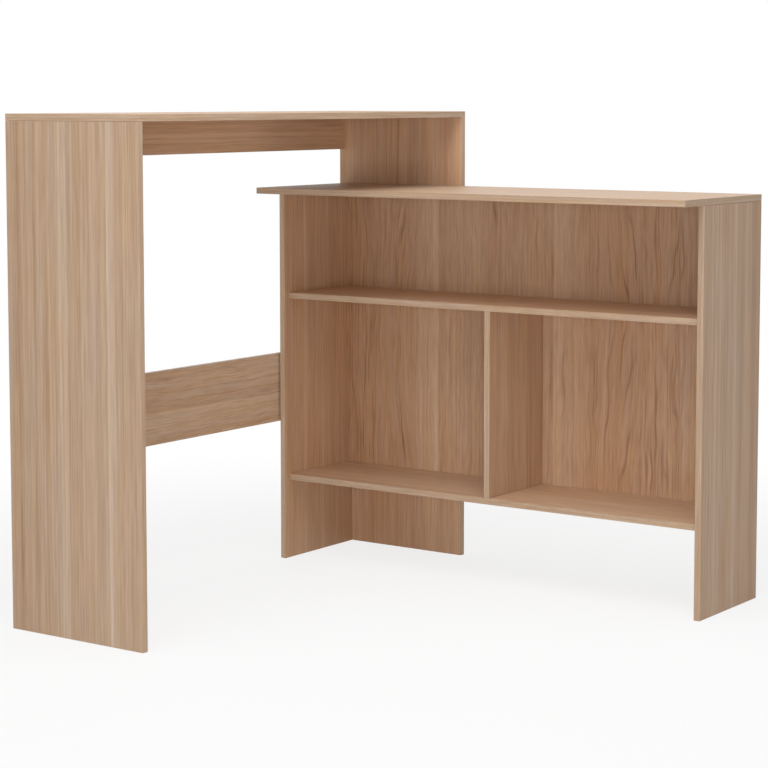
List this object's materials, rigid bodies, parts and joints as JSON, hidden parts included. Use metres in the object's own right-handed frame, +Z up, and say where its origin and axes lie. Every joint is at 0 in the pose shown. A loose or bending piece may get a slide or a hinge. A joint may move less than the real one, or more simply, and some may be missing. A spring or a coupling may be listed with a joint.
{
  "type": "bar table",
  "caption": "Tall bar table on end panels with an apron and a stretcher, and a low shelf rack with an overhanging top that stands across its bay to make an L.",
  "frame": {"origin": "on the floor, under the middle of the footprint of the tall table and the rack together", "axes": "+X along the rack, away from the tall table; +Y along the tall table, from its near end to the end where the rack stands; +Z up"},
  "size_m": [1.283, 1.3, 1.2],
  "materials": {
    "oak_woodgrain": "matt light oak woodgrain on board, with matching edge bands",
    "beech": "bare turned beech",
    "bolt_steel": "bright zinc-plated steel",
    "cam_zinc": "tumbled die-cast zinc"
  },
  "bodies": {
    "tall_table": {"table_top": "oak_woodgrain", "near_end_panel": "oak_woodgrain", "far_end_panel": "oak_woodgrain", "apron": "oak_woodgrain", "stretcher": "oak_woodgrain", "table_top_dowel_near_back": "beech", "table_top_dowel_near_front": "beech", "table_top_dowel_far_back": "beech", "table_top_dowel_far_front": "beech", "apron_top_bolt_near": "bolt_steel", "apron_top_bolt_far": "bolt_steel", "apron_top_cam_near": "cam_zinc", "apron_top_cam_far": "cam_zinc", "apron_end_bolt_near": "bolt_steel", "apron_end_bolt_far": "bolt_steel", "apron_end_cam_near": "cam_zinc", "apron_end_cam_far": "cam_zinc", "stretcher_bolt_near": "bolt_steel", "stretcher_bolt_far": "bolt_steel", "stretcher_cam_near": "cam_zinc", "stretcher_cam_far": "cam_zinc", "stretcher_dowel_near": "beech", "stretcher_dowel_far": "beech"},
    "shelf_rack": {"rack_top": "oak_woodgrain", "rack_left_side": "oak_woodgrain", "rack_right_side": "oak_woodgrain", "upper_shelf": "oak_woodgrain", "lower_shelf": "oak_woodgrain", "divider": "oak_woodgrain", "rack_back": "oak_woodgrain", "rack_top_dowel_left_front": "beech", "rack_top_dowel_left_back": "beech", "rack_top_dowel_right_front": "beech", "rack_top_dowel_right_back": "beech", "rack_back_bolt_left": "bolt_steel", "rack_back_bolt_right": "bolt_steel", "rack_back_cam_left": "cam_zinc", "rack_back_cam_right": "cam_zinc", "rack_back_dowel_left_lower": "beech", "rack_back_dowel_left_upper": "beech", "rack_back_dowel_right_lower": "beech", "rack_back_dowel_right_upper": "beech", "upper_shelf_bolt_left": "bolt_steel", "upper_shelf_bolt_right": "bolt_steel", "upper_shelf_cam_left": "cam_zinc", "upper_shelf_cam_right": "cam_zinc", "upper_shelf_dowel_left": "beech", "upper_shelf_dowel_right": "beech", "lower_shelf_bolt_left": "bolt_steel", "lower_shelf_bolt_right": "bolt_steel", "lower_shelf_cam_left": "cam_zinc", "lower_shelf_cam_right": "cam_zinc", "lower_shelf_dowel_left": "beech", "lower_shelf_dowel_right": "beech", "divider_dowel_lower_front": "beech", "divider_dowel_lower_back": "beech", "divider_dowel_upper_front": "beech", "divider_dowel_upper_back": "beech"}
  },
  "joints": [
    {"name": "rack_slide", "type": "slide", "parent": "tall_table", "child": "shelf_rack", "axis": [1, 0, 0], "range_m": [0, 0.4]}
  ]
}
